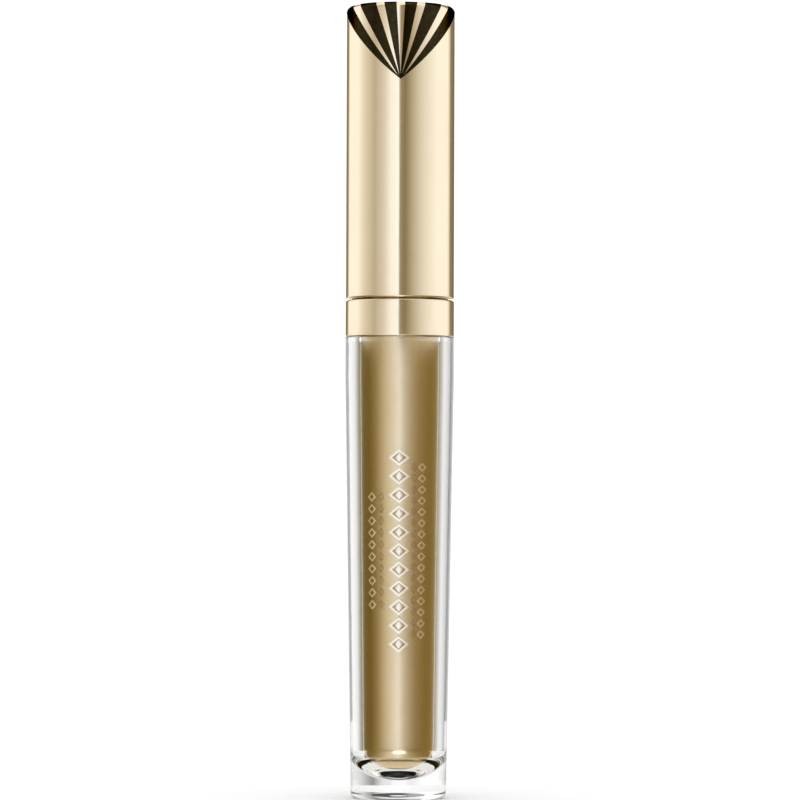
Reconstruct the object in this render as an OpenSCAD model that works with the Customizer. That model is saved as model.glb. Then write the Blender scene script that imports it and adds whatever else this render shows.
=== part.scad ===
// Screw-cap mascara: a thick clear jacket round a gold vial, with a gold collar,
// a gold overcap and the brush that the cap carries on its stem.
// Millimetres. The tube stands on the XY plane round +Z, and its front faces -Y.

/* [Overall] */
// Height of the clear jacket, from the table to the collar's lower edge
body_h = 67.6; // [50:0.1:90]
// Height of the collar that shows between jacket and cap
collar_h = 5.4; // [3.5:0.1:7]
// Height of the overcap
cap_h = 43.1; // [36:0.1:56]
// Diameter of the cap, the collar and the jacket's upper end
top_d = 16; // [15.2:0.1:20]
// Diameter of the jacket at the foot
foot_d = 14; // [12.6:0.1:16]
// Open seam between collar and overcap
seam_gap = 0.2; // [0.1:0.05:0.5]

/* [Jacket] */
// Height of the jacket's straight upper part
jacket_straight = 5.6; // [3:0.1:10]
// Thickness of the clear base under the vial
base_t = 2.9; // [2.2:0.1:6]
// Radius of the rounded foot edge
foot_edge_r = 0.8; // [0.4:0.1:1.2]
// Width of the flat ring that the foot stands on
foot_ring_w = 0.9; // [0.6:0.1:2.5]
// Depth of the hollow in the underside
punt_depth = 1; // [0.3:0.1:1.5]
// Air gap between vial and jacket
vial_gap = 0.2; // [0.15:0.01:0.4]
// Wall of the jacket's spigot inside the collar
spigot_wall = 1.2; // [0.8:0.1:1.6]
// Height of the spigot above the collar's lower edge
spigot_h = 2.6; // [2:0.1:3]

/* [Vial] */
// Outer diameter of the vial under the neck
vial_top_d = 11.2; // [9.3:0.1:12.2]
// Outer diameter of the vial just above its rounded bottom
vial_foot_d = 10; // [8.3:0.1:11.2]
// Wall of the vial
vial_wall = 0.7; // [0.5:0.05:1]
// Distance from the axis to the centre of the curve round the vial's bottom
vial_corner_x = 0.4; // [0.1:0.1:2.5]
// Radius of the vial's domed bottom
vial_dome_r = 8; // [7:0.5:14]
// Thickness of the vial's shoulder flange
flange_t = 1; // [0.7:0.1:1.4]

/* [Neck and thread] */
// Diameter of the neck between its threads
neck_d = 8.9; // [7.4:0.1:9.6]
// Clearance of the brush in the neck's bore
neck_clear = 0.45; // [0.2:0.05:0.7]
// Height of the neck above the collar
neck_h = 13.2; // [11:0.1:15]
// Thread height above the neck
thread_h = 0.45; // [0.3:0.05:0.5]
// Thread rise in one turn
thread_pitch = 2.6; // [2.2:0.1:3]
// Turns of thread
thread_turns = 1.75; // [1.25:0.25:2.25]
// Clearance between the crests of the two threads
thread_clear = 0.1; // [0.05:0.05:0.2]

/* [Wiper] */
// Thickness of the wiper's sleeve
wiper_wall = 0.5; // [0.4:0.05:0.7]
// Distance from the neck's outside in to the edge of the wiper's flange
wiper_flange_inset = 0.25; // [0.1:0.05:0.3]
// Thickness of the wiper's flange
wiper_flange_t = 0.8; // [0.5:0.1:1.2]
// Length of the wiper below the neck's rim
wiper_l = 12; // [10:0.1:14]
// Clearance between wiping lip and stem
lip_clear = 0.12; // [0.1:0.01:0.25]

/* [Cap] */
// Wall of the overcap
cap_wall = 0.9; // [0.7:0.05:1.2]
// Thickness of the overcap's top
cap_top_t = 1.2; // [0.9:0.1:1.8]
// Radius of the overcap's rounded top edge
cap_edge_r = 1; // [0.6:0.1:1.1]
// Break on the edges at the seam
seam_edge = 0.3; // [0.15:0.05:0.5]
// Wall of the inner cap round its thread
inner_wall = 0.9; // [0.7:0.05:1.1]
// Number of ribs that centre the inner cap
rib_count = 12; // [6:2:16]
// Thickness of a rib
rib_t = 0.7; // [0.5:0.1:1]

/* [Fan] */
// Height of the fan, from its point to the top of the cap
fan_h = 11.4; // [8:0.1:14]
// Slope of the line, running back into the cap, on which the stripe edges hinge
fan_rake = 30.2; // [20:0.1:40]
// Depth of the black enamel in the cap's wall
fan_depth = 0.25; // [0.15:0.05:0.4]
// Distance from the fan's point at which the stripes part
fan_root = 0.65; // [0.6:0.05:1.5]

/* [Stem and brush] */
// Diameter of the stem
stem_d = 3.2; // [2.6:0.1:3.9]
// Step from the stem out to its shank in the inner cap
shank_step = 0.3; // [0.1:0.05:0.6]
// Length of the shank
shank_l = 13; // [8:0.5:18]
// Depth of the stem's plug in the wiper's mouth
plug_l = 2.6; // [1.5:0.1:4]
// Running clearance in the inner cap's and the stem's sockets
socket_clear = 0.03; // [0.01:0.01:0.06]
// Length of the brush below the stem
brush_l = 28; // [22:0.5:34]
// Diameter over the bristles
brush_d = 5.8; // [4.4:0.1:7]
// Diameter of the brush's core
core_d = 2.1; // [1.6:0.1:2.4]
// Diameter of the brush's peg in the stem
peg_d = 2; // [1.6:0.1:2.2]
// Length of the peg
peg_l = 6; // [4:0.5:8]
// Rings of bristles
ring_count = 30; // [20:1:36]
// Clearance of the brush's tip over the vial's floor
tip_clear = 4.2; // [3:0.1:8]

/* [Mascara] */
// Empty height in the vial above the mascara
headspace = 10; // [5:0.5:30]
// Clearance between the brush and the channel that it leaves
channel_clear = 0.2; // [0.15:0.05:0.4]

/* [Ornament] */
// Height of the raised ornament above the jacket's surface
ornament_t = 0.1; // [0.06:0.01:0.2]
// Distance from the collar down to the ornament's middle
ornament_drop = 31.3; // [24:0.1:34]
// Length of the middle row
middle_row_l = 29.8; // [20:0.1:36]
// Lozenges in the middle row
middle_row_count = 11; // [7:1:13]
// Width of the middle row
middle_row_w = 3.3; // [2:0.1:4]
// Width of the lines in the middle row
middle_row_line = 0.32; // [0.2:0.02:0.5]
// Length of the left row
left_row_l = 17.4; // [10:0.1:28]
// Lozenges in the left row
left_row_count = 10; // [6:1:14]
// Angle of the left row round the jacket
left_row_angle = 31; // [22:0.5:40]
// Length of the right row
right_row_l = 25.9; // [10:0.1:30]
// Lozenges in the right row
right_row_count = 16; // [8:1:20]
// Angle of the right row round the jacket
right_row_angle = 25.5; // [22:0.5:40]
// Width of the side rows
side_row_w = 1.4; // [0.8:0.1:2]
// Width of the lines in the side rows
side_row_line = 0.2; // [0.14:0.02:0.3]
// Gap between neighbouring lozenges
lozenge_gap = 0.3; // [0.2:0.05:0.5]

/* [Hidden] */
$fn = 96;
eps = 0.01;
weld = 0.2;              // how far a rib or thread runs into the wall that carries it
shoulder_drop = 1.2;     // thickness of the vial's shoulder under the neck
shoulder_cone_h = 1.6;   // height of the cone inside the shoulder
thread_rise = 4.2;       // from the collar up to the start of the neck's thread
thread_w = 1.4;
cap_thread_rise = 3.4;   // from the overcap's rim up to the start of the inner cap's thread
cap_thread_w = 1.2;
thread_steps = 24;       // facets in a turn of thread
thread_run_out = 4;      // facets over which a thread's end runs down into its wall
collar_edge = 0.1;
collar_thread_clear = 0.35;
cap_inset = 0.3;         // from the overcap's rim up to the inner cap's
cap_flange_t = 1.4;
cap_top_clear = 0.1;
rim_clear = 0.2;         // over the wiper, when the cap is closed
seat_clear = 0.05;
plug_clear = 0.12;
plug_lead = 1;           // height of the cone that leads the stem's plug in
mouth_relief = 0.4;
boss_t = 1.5;
tip_bare = 1.4;          // brush core that shows beyond the bristles
root_bare = 1.2;
row_t = 0.45;            // thickness of a ring of bristles
web_t = 0.25;            // thickness of the sleeve that joins the rings
stud_share = 0.3;        // width of a middle lozenge's stud, as a share of the lozenge
core_root_h = 0.4;       // brush core that stays straight over the bristles
core_lead = 0.5;         // height of its collar under the stem
core_inset = 0.1;        // of that collar, inside the stem's outline
core_taper = 0.8;        // the core's radius at its tip, as a share of that at its root
nose_share = 0.5;        // bristle length at the brush's tip, as a share of the longest
nose_slope = 3;
heel_share = 0.72;       // bristle length at the brush's root
heel_slope = 2.2;
fan_reach = 40;          // far past the cap's edge

// Radii
top_r = top_d / 2;
foot_r = foot_d / 2;
punt_r = foot_r - foot_edge_r - foot_ring_w;
vial_top_r = vial_top_d / 2;
vial_foot_r = vial_foot_d / 2;
neck_r = neck_d / 2;
crest_r = neck_r + thread_h;
stem_r = stem_d / 2;
shank_r = stem_r + shank_step;
brush_r = brush_d / 2;
bore_r = brush_r + neck_clear;
core_r = core_d / 2;
peg_r = peg_d / 2;
spigot_r = vial_top_r + vial_gap + spigot_wall;

// Heights, from the table up
taper_top = body_h - jacket_straight;
spigot_top = body_h + spigot_h;
shoulder_z = spigot_top + flange_t;
neck_base = spigot_top - shoulder_drop;
cone_base = neck_base - shoulder_cone_h;
collar_top = body_h + collar_h;
cap_z = collar_top + seam_gap;
cap_top = cap_z + cap_h;
neck_top = collar_top + neck_h;
wiper_top = neck_top + wiper_flange_t;
wiper_bottom = neck_top - wiper_l;

// The vial's bottom: a dome and a corner that touch where their centres line up.
// A wall that lies in by inset keeps both centres, so it stays parallel.
vial_corner_r = vial_foot_r - vial_corner_x;
dome_cz = base_t + vial_dome_r;
corner_z = dome_cz - sqrt(pow(vial_dome_r - vial_corner_r, 2) - pow(vial_corner_x, 2));

// The inner cap
root_r = crest_r + thread_clear + thread_h;
socket_r = root_r + inner_wall;
bore_cap_r = top_r - cap_wall;
inner_z = cap_z + cap_inset;
ceiling_z = wiper_top + rim_clear;
ceiling_t = 1.4;
inner_top = cap_top - cap_top_t - cap_top_clear;
boss_wall = 1.2;
boss_floor = 1.5;
boss_r = shank_r + boss_t;
mouth_relief_h = 1.2;

// The wiper and the stem's plug in its mouth
mouth_r = bore_r - wiper_wall;
plug_r = mouth_r - plug_clear;
lip_r = stem_r + lip_clear;
lip_h = 1;
wiper_cone_h = 3.6;

// The stem and the brush
vial_floor = base_t + vial_wall;
tip_z = vial_floor + tip_clear;
stem_bottom = tip_z + brush_l;
shank_top = ceiling_z + shank_l;
bristle_z = tip_z + tip_bare;
bristle_top = stem_bottom - root_bare;
ring_pitch = (bristle_top - bristle_z) / ring_count;
core_tip_r = core_r * core_taper;

// The fan's stripes: pairs of angles from the upright, looked at along the rake.
stripes = [[3.9, 14.3], [21.8, 35.9], [44, 56.3]];

module turned() rotate_extrude() children();

// Half outline of the vial's closed lower end, lying out by grow, up to height top
module vial_outline(top, grow = 0) {
    c = vial_corner_r + grow;
    reach = vial_dome_r + grow;
    touch_x = vial_corner_x * reach / (vial_dome_r - vial_corner_r);
    touch_z = dome_cz - (dome_cz - corner_z) * reach / (vial_dome_r - vial_corner_r);
    intersection() {
        square([vial_top_r + grow + 1, top]);
        union() {
            polygon([[0, corner_z], [vial_foot_r + grow, corner_z],
                     [vial_top_r + grow, taper_top], [vial_top_r + grow, top], [0, top]]);
            translate([vial_corner_x, corner_z]) circle(c);
            intersection() {
                translate([0, dome_cz]) circle(reach);
                polygon([[0, 0], [touch_x, 0], [touch_x, touch_z], [vial_corner_x, corner_z],
                         [0, corner_z + eps]]);
            }
        }
    }
}

// A helical ridge on a cylinder of radius root, standing out by height (inward if negative).
// It starts at z, and both of its ends run down into the root.
module thread(root, height, z, turns, pitch, width) {
    steps = ceil(turns * thread_steps);
    sink = height > 0 ? -weld : weld;
    rings = [for (i = [0:steps]) let (
                 a = i * 360 * turns / steps,
                 share = max(0.12, min(1, i / thread_run_out, (steps - i) / thread_run_out)),
                 crest = root + height * share,
                 mid = z + pitch * a / 360)
             [for (p = [[root + sink, -width / 2], [crest, -width / 5],
                        [crest, width / 5], [root + sink, width / 2]])
              [p[0] * cos(a), p[0] * sin(a), mid + p[1]]]];
    points = [for (ring = rings) each ring];
    side = [for (i = [0:steps - 1]) for (k = [0:3]) let (
                a = 4 * i + k, b = 4 * i + (k + 1) % 4)
            each [[a, b, b + 4], [a, b + 4, a + 4]]];
    ends = [[0, 3, 2], [0, 2, 1],
            [4 * steps, 4 * steps + 1, 4 * steps + 2], [4 * steps, 4 * steps + 2, 4 * steps + 3]];
    faces = concat(side, ends);
    polyhedron(points, height > 0 ? faces : [for (f = faces) [f[2], f[1], f[0]]]);
}

module clear_jacket() {
    punt_sphere_r = (pow(punt_r, 2) + pow(punt_depth, 2)) / (2 * punt_depth);
    color([0.94, 0.95, 0.95, 0.35]) turned() difference() {
        union() {
            polygon([[0, foot_edge_r], [foot_r, foot_edge_r], [top_r, taper_top], [top_r, body_h],
                     [0, body_h]]);
            square([foot_r - foot_edge_r, body_h]);
            translate([foot_r - foot_edge_r, foot_edge_r]) circle(foot_edge_r);
            square([spigot_r, spigot_top]);
        }
        vial_outline(spigot_top + 1, vial_gap);
        intersection() {
            translate([0, punt_depth - punt_sphere_r]) circle(punt_sphere_r);
            translate([0, -1]) square([punt_r + 1, punt_depth + 2]);
        }
    }
}

module vial() {
    color([0.66, 0.53, 0.32]) union() {
        turned() difference() {
            union() {
                vial_outline(shoulder_z);
                translate([0, spigot_top]) square([spigot_r, flange_t]);
                translate([0, shoulder_z - eps]) square([neck_r, neck_top - shoulder_z + eps]);
            }
            vial_outline(cone_base, -vial_wall);
            polygon([[0, cone_base - eps], [vial_top_r - vial_wall, cone_base - eps],
                     [vial_top_r - vial_wall, cone_base], [bore_r, neck_base], [0, neck_base]]);
            translate([-eps, neck_base - eps]) square([bore_r + eps, neck_top]);
        }
        thread(neck_r, thread_h, collar_top + thread_rise, thread_turns, thread_pitch, thread_w);
    }
}

// A lozenge: an outline of width line, or a solid one where line is 0
module lozenge(w, h, line) difference() {
    inner = 1 - 2 * line * sqrt(1 / (w * w) + 1 / (h * h));
    polygon([[0, -h / 2], [w / 2, 0], [0, h / 2], [-w / 2, 0]]);
    if (line > 0) scale(inner) polygon([[0, -h / 2], [w / 2, 0], [0, h / 2], [-w / 2, 0]]);
}

// An upright row of lozenges, turned round the jacket by angle and cut from front to axis
module lozenge_row(angle, length, count, w, line) {
    pitch = length / count;
    rotate([0, 0, angle]) rotate([90, 0, 0]) linear_extrude(top_r + 1) for (i = [0:count - 1])
        translate([0, body_h - ornament_drop + (i + 0.5) * pitch - length / 2])
            lozenge(w, pitch - lozenge_gap, line);
}

// Three rows of raised lozenges on the jacket's front
module front_ornament() {
    color([0.95, 0.87, 0.68]) intersection() {
        turned() polygon([[foot_r, foot_edge_r], [foot_r + ornament_t, foot_edge_r],
                          [top_r + ornament_t, taper_top], [top_r, taper_top]]);
        union() {
            lozenge_row(0, middle_row_l, middle_row_count, middle_row_w, middle_row_line);
            lozenge_row(0, middle_row_l, middle_row_count, middle_row_w * stud_share, 0);
            lozenge_row(-left_row_angle, left_row_l, left_row_count, side_row_w, side_row_line);
            lozenge_row(right_row_angle, right_row_l, right_row_count, side_row_w, side_row_line);
        }
    }
}

module mascara_fill() {
    channel_r = brush_r + channel_clear;
    level = cone_base - headspace;
    color([0.06, 0.05, 0.05]) turned() difference() {
        vial_outline(level, -vial_wall);
        translate([0, tip_z - channel_clear]) square([channel_r, level]);
    }
}

module collar() {
    color([0.86, 0.76, 0.55]) turned() difference() {
        translate([0, body_h]) polygon([[0, 0], [top_r - collar_edge, 0], [top_r, collar_edge],
            [top_r, collar_h - seam_edge], [top_r - seam_edge, collar_h], [0, collar_h]]);
        translate([0, body_h - 1]) square([spigot_r, shoulder_z - body_h + 1]);
        square([crest_r + collar_thread_clear, collar_top + 1]);
    }
}

module wiper() {
    color([0.9, 0.9, 0.88]) turned() difference() {
        union() {
            translate([0, wiper_bottom + lip_h + wiper_cone_h])
                square([bore_r, wiper_top - wiper_bottom - lip_h - wiper_cone_h]);
            polygon([[0, wiper_bottom], [lip_r + wiper_wall, wiper_bottom],
                     [lip_r + wiper_wall, wiper_bottom + lip_h],
                     [bore_r, wiper_bottom + lip_h + wiper_cone_h],
                     [0, wiper_bottom + lip_h + wiper_cone_h]]);
            translate([0, neck_top]) square([neck_r - wiper_flange_inset, wiper_flange_t]);
        }
        translate([0, wiper_bottom - 1]) square([lip_r, wiper_l + 3]);
        polygon([[0, wiper_bottom + lip_h], [lip_r, wiper_bottom + lip_h],
                 [mouth_r, wiper_bottom + lip_h + wiper_cone_h], [mouth_r, wiper_top + 1],
                 [0, wiper_top + 1]]);
    }
}

module stem() {
    plug_z = wiper_top - plug_l;
    plug_top = ceiling_z - seat_clear;
    color([0.07, 0.07, 0.07]) turned() difference() {
        union() {
            translate([0, stem_bottom]) square([stem_r, plug_z - stem_bottom]);
            polygon([[0, plug_z - plug_lead], [stem_r, plug_z - plug_lead], [plug_r, plug_z],
                     [plug_r, plug_top], [0, plug_top]]);
            translate([0, plug_top - eps]) square([shank_r, shank_top - plug_top]);
        }
        translate([0, stem_bottom - 1]) square([peg_r + socket_clear, peg_l + 1 + socket_clear]);
    }
}

module inner_cap() {
    color([0.88, 0.88, 0.86]) union() {
        turned() difference() {
            union() {
                translate([0, inner_z]) square([socket_r, ceiling_z + ceiling_t - inner_z]);
                translate([0, inner_z]) square([bore_cap_r, cap_flange_t]);
                translate([0, ceiling_z]) square([bore_cap_r, ceiling_t]);
                translate([0, ceiling_z]) square([boss_r, inner_top - ceiling_z]);
            }
            translate([0, inner_z - 1]) square([root_r, ceiling_z - inner_z + 1]);
            translate([0, inner_z - 1]) square([root_r + mouth_relief, mouth_relief_h + 1]);
            translate([0, ceiling_z - 1])
                square([shank_r + socket_clear, shank_l + 1 + socket_clear]);
            translate([0, shank_top + boss_floor]) square([boss_r - boss_wall, cap_h]);
        }
        thread(root_r, -thread_h, cap_z + cap_thread_rise, thread_turns, thread_pitch, cap_thread_w);
        ribs(socket_r - weld, inner_z + 1, ceiling_z - inner_z, rib_count);
        ribs(boss_r - weld, ceiling_z + 1, inner_top - ceiling_z - 1, rib_count / 2);
    }
}

// Radial ribs from radius r out to the overcap's bore
module ribs(r, z, h, count) intersection() {
    translate([0, 0, z]) cylinder(r = bore_cap_r, h = h);
    for (i = [0:count - 1]) rotate([0, 0, i * 360 / count])
        translate([r, -rib_t / 2, z]) cube([bore_cap_r - r + 1, rib_t, h]);
}

// Half outline of the overcap's outside, lying in by inset
module cap_outline(inset = 0) {
    r = top_r - inset;
    edge = max(cap_edge_r - inset, 0.1);
    top = cap_top - inset;
    translate([0, cap_z + seam_edge]) square([r, top - edge - cap_z - seam_edge]);
    polygon([[0, cap_z], [r - seam_edge, cap_z], [r, cap_z + seam_edge], [0, cap_z + seam_edge]]);
    translate([0, top - edge - eps]) square([r - edge, edge + eps]);
    intersection() {
        translate([r - edge, top - edge]) circle(edge);
        translate([r - edge - eps, top - edge - eps]) square([edge + 1, edge + 1]);
    }
}

// The enamel's skin: the outer fan_depth of the wall and of the rounded edge, but not at the back
module fan_skin() intersection() {
    turned() difference() {
        cap_outline();
        cap_outline(fan_depth);
        square([top_r - cap_edge_r, cap_top + 1]);
    }
    translate([-top_r, -top_r, 0]) cube([top_d, 1.5 * top_r, cap_top + 1]);
}

// The stripes as one fan, all along one raked line through its point. Its outline is a star that
// runs out and back along each stripe, and turns at fan_root between two of them.
module fan_prism() {
    last = len(stripes) - 1;
    all = concat([for (i = [last:-1:0]) [-stripes[i][1], -stripes[i][0]]], stripes);
    count = len(all);
    notches = [for (i = [0:count - 2]) [fan_root, (all[i][1] + all[i + 1][0]) / 2]];
    star = concat([[0, 0]], [for (i = [0:count - 1]) each concat(
        [[fan_reach, all[i][0]], [fan_reach, all[i][1]]],
        i < count - 1 ? [notches[i]] : [])]);
    translate([0, -top_r, cap_top - fan_h]) rotate([90 + fan_rake, 0, 0])
        translate([0, 0, -fan_reach]) linear_extrude(2 * fan_reach)
            polygon([for (p = star) p[0] * [sin(p[1]), cos(p[1])]]);
}

module overcap() {
    color([0.88, 0.78, 0.58]) difference() {
        turned() difference() {
            cap_outline();
            translate([0, cap_z - 1]) square([bore_cap_r, cap_h - cap_top_t + 1]);
        }
        intersection() {
            fan_skin();
            fan_prism();
        }
    }
}

module fan_enamel() {
    color([0.05, 0.04, 0.03]) intersection() {
        fan_skin();
        fan_prism();
    }
}

// Radius over the bristles at share u of the brush, from its tip to the stem
function bristle_r(u) = core_r + (brush_r - core_r)
    * min(1, nose_share + nose_slope * u, heel_share + heel_slope * (1 - u));

module brush_core() {
    color([0.05, 0.05, 0.05]) turned() {
        translate([0, stem_bottom - 1]) square([peg_r, peg_l + 1]);
        polygon([[0, tip_z + core_tip_r], [core_tip_r, tip_z + core_tip_r], [core_r, bristle_top],
                 [core_r, bristle_top + core_root_h], [stem_r - core_inset, stem_bottom - core_lead],
                 [stem_r - core_inset, stem_bottom - socket_clear], [0, stem_bottom - socket_clear]]);
        intersection() {
            translate([0, tip_z + core_tip_r]) circle(core_tip_r);
            translate([0, tip_z]) square([core_tip_r, core_tip_r]);
        }
    }
}

// The bristles as one comb-shaped ring of rows round the core
module brush_bristles() {
    color([0.04, 0.04, 0.04]) turned() difference() {
        union() {
            polygon([[0, bristle_z], [core_r + web_t, bristle_z], [core_r + web_t, bristle_top],
                     [0, bristle_top]]);
            for (i = [0:ring_count - 1])
                translate([0, bristle_z + (i + 0.5) * ring_pitch - row_t / 2])
                    square([bristle_r((i + 0.5) / ring_count), row_t]);
        }
        polygon([[0, tip_z], [core_tip_r, tip_z + core_tip_r], [core_r, bristle_top],
                 [core_r, bristle_top + 1], [0, bristle_top + 1]]);
    }
}

clear_jacket();
front_ornament();
vial();
mascara_fill();
collar();
wiper();
stem();
inner_cap();
overcap();
fan_enamel();
brush_core();
brush_bristles();
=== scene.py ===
"""Screw-cap mascara: a clear tapering jacket round a gold vial, a gold collar and cap, and the brush inside."""

import math

import bpy
from mathutils import Matrix, Vector


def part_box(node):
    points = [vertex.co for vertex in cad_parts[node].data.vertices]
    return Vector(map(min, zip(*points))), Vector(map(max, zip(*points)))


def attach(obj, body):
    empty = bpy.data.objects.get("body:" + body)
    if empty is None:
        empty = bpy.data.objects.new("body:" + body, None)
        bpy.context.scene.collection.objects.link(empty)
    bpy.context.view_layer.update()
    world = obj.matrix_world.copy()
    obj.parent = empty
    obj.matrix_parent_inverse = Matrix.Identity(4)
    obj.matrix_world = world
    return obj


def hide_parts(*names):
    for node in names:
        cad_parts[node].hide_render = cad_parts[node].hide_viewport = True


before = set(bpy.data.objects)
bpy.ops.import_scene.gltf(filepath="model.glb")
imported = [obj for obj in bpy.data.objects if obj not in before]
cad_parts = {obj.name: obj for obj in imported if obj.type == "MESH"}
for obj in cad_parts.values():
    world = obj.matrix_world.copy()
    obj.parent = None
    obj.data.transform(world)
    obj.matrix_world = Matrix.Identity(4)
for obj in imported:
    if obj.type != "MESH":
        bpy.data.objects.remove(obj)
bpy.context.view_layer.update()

MM = 0.001
TURN = 2 * math.pi
SEGMENTS = 256

# ---------------------------------------------------------------- heights and radii, from the frame
BODY_TOP, COLLAR_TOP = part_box("collar")[0].z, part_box("collar")[1].z
CAP_BOTTOM, CAP_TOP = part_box("overcap")[0].z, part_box("overcap")[1].z
CAP_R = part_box("overcap")[1].x
SPIGOT_TOP, SPIGOT_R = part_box("clear_jacket")[1].z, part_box("vial")[1].x
VIAL_BOTTOM, NECK_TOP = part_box("vial")[0].z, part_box("vial")[1].z
WIPER_BOTTOM, WIPER_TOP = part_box("wiper")[0].z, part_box("wiper")[1].z
WIPER_FLANGE_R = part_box("wiper")[1].x
STEM_BOTTOM, SHANK_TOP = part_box("stem")[0].z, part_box("stem")[1].z
PLUG_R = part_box("stem")[1].x
TIP_Z, PEG_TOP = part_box("brush_core")[0].z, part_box("brush_core")[1].z
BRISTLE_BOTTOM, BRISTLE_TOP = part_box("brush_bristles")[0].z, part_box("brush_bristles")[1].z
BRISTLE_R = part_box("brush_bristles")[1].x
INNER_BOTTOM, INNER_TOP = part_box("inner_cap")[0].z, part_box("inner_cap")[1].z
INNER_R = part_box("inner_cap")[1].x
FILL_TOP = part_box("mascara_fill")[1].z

# ---------------------------------------------------------------- sizes that the boxes don't give
# clear jacket: its foot ring, the hollow under it, the top of its taper, and the air under the collar
FOOT_R, FOOT_EDGE = 7.0 * MM, 0.8 * MM
PUNT_R, PUNT_DEPTH = 5.3 * MM, 1.0 * MM
TAPER_TOP = BODY_TOP - 5.6 * MM
SEAT_GAP = 0.02 * MM
# vial: wall, air gap round it, domed bottom, lacquer, shoulder and neck
VIAL_TOP_R, VIAL_FOOT_R, VIAL_WALL, VIAL_GAP = 5.6 * MM, 5.0 * MM, 0.7 * MM, 0.2 * MM
CORNER_X, DOME_R = 0.4 * MM, 8.0 * MM
CORNER_R = VIAL_FOOT_R - CORNER_X
LACQUER = 0.08 * MM
SHOULDER_Z = SPIGOT_TOP + 1.0 * MM
NECK_BASE = SPIGOT_TOP - 1.2 * MM
CONE_BASE = NECK_BASE - 1.6 * MM
NECK_R, BORE_R, COLLAR_CLEAR = 4.45 * MM, 3.35 * MM, 0.35 * MM
# screw threads on the neck and in the inner cap
THREAD_H, THREAD_TURNS, THREAD_PITCH = 0.45 * MM, 1.75, 2.6 * MM
NECK_THREAD_Z, NECK_THREAD_W = COLLAR_TOP + 4.2 * MM, 1.4 * MM
CAP_THREAD_Z, CAP_THREAD_W = CAP_BOTTOM + 3.4 * MM, 1.2 * MM
# wiper: length of its lip, gap round the stem, length of its cone, wall
LIP_L, LIP_GAP, WIPER_CONE_L, WIPER_WALL = 1.0 * MM, 0.12 * MM, 3.6 * MM, 0.5 * MM
# mascara: room round the brush, its lumps, and the border that stays as it is
CHANNEL_GAP, LUMP_SIZE, LUMP_DEPTH, STILL_EDGE = 0.2 * MM, 1.1 * MM, 0.35 * MM, 0.4 * MM
# overcap and inner cap
CAP_WALL, CAP_TOP_T, CAP_EDGE, SEAM_EDGE = 0.9 * MM, 1.2 * MM, 1.0 * MM, 0.3 * MM
ROOT_R, SOCKET_R, BOSS_R, BOSS_WALL, BOSS_FLOOR = 5.45 * MM, 6.35 * MM, 3.4 * MM, 1.2 * MM, 1.5 * MM
CEILING_Z, CEILING_T = WIPER_TOP + 0.2 * MM, 1.4 * MM
MOUTH_CLEAR, MOUTH_H, FLANGE_H = 0.4 * MM, 1.2 * MM, 1.4 * MM
RIB_T, RIB_ROOT, RIB_GAP = 0.7 * MM, 0.2 * MM, 0.01 * MM
# stem and brush: FIT is the gap of each pressed fit
STEM_R, SHANK_R, PLUG_L, PLUG_TAPER, PLUG_GAP = 1.6 * MM, 1.9 * MM, 2.6 * MM, 1.0 * MM, 0.05 * MM
CORE_R, CORE_TIP_R, PEG_R, FIT = 1.05 * MM, 0.84 * MM, 1.0 * MM, 0.03 * MM
RINGS, SPIKES, SPIKE_R, SPIKE_ROOT, SLEEVE_T = 30, 14, 0.24 * MM, 0.05 * MM, 0.25 * MM
# enamel fan: its stripes are pairs of degrees from upright, in the plane square to the rake
ENAMEL_PROUD = 0.02 * MM
FAN_H, FAN_RAKE, FAN_ROOT, FAN_DEPTH = 11.4 * MM, math.radians(30.2), 0.65 * MM, 0.25 * MM
STRIPES = [(3.9, 14.3), (21.8, 35.9), (44.0, 56.3)]
# ornament: each row's angle round the jacket, length, lozenges, their width, line width, stud's share of the width
ORNAMENT_T, ORNAMENT_SINK, ORNAMENT_EDGE = 0.1 * MM, 0.01 * MM, 0.035 * MM
ORNAMENT_Z, LOZENGE_GAP, STUD_HEIGHT = BODY_TOP - 31.3 * MM, 0.3 * MM, 0.55
ROWS = [(0, 29.8 * MM, 11, 3.3 * MM, 0.32 * MM, 0.3),
        (-31, 17.4 * MM, 10, 1.4 * MM, 0.2 * MM, 0),
        (25.5, 25.9 * MM, 16, 1.4 * MM, 0.2 * MM, 0)]
# distance from a corner to the point that holds smooth shading flat, and the merging distance
HOLD, SAME_POINT = 0.03 * MM, 0.0005 * MM


# ---------------------------------------------------------------- drawing tools
def arc(cx, cz, r, start, stop, steps):
    """Points on a circle's arc, in a plane through the axis; angles in degrees from +X to +Z."""
    angles = [math.radians(start + (stop - start) * i / steps) for i in range(steps + 1)]
    return [(cx + r * math.cos(a), cz + r * math.sin(a)) for a in angles]


def rounded(*corners, steps=6):
    """A closed line's points (radius, height) from its corners (radius, height, rounding in mm)."""
    line = []
    for k, (x, z, r) in enumerate(corners):
        here = Vector((x, z))
        if r == 0:
            line.append((x, z))
            continue
        back = Vector(corners[k - 1][:2]) - here
        on = Vector(corners[(k + 1) % len(corners)][:2]) - here
        half = back.angle(on) / 2
        reach = min(r * MM / math.tan(half), 0.48 * back.length, 0.48 * on.length)
        centre = here + (back.normalized() + on.normalized()).normalized() * reach / math.cos(half)
        start = here + back.normalized() * reach - centre
        stop = here + on.normalized() * reach - centre
        first = math.degrees(math.atan2(start.y, start.x))
        swing = (math.degrees(math.atan2(stop.y, stop.x)) - first + 180) % 360 - 180
        line += arc(centre.x, centre.y, start.length, first, first + swing, steps)
    return line


def deselect():
    if bpy.context.mode != "OBJECT":
        bpy.ops.object.mode_set(mode="OBJECT")
    bpy.ops.object.select_all(action="DESELECT")


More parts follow.
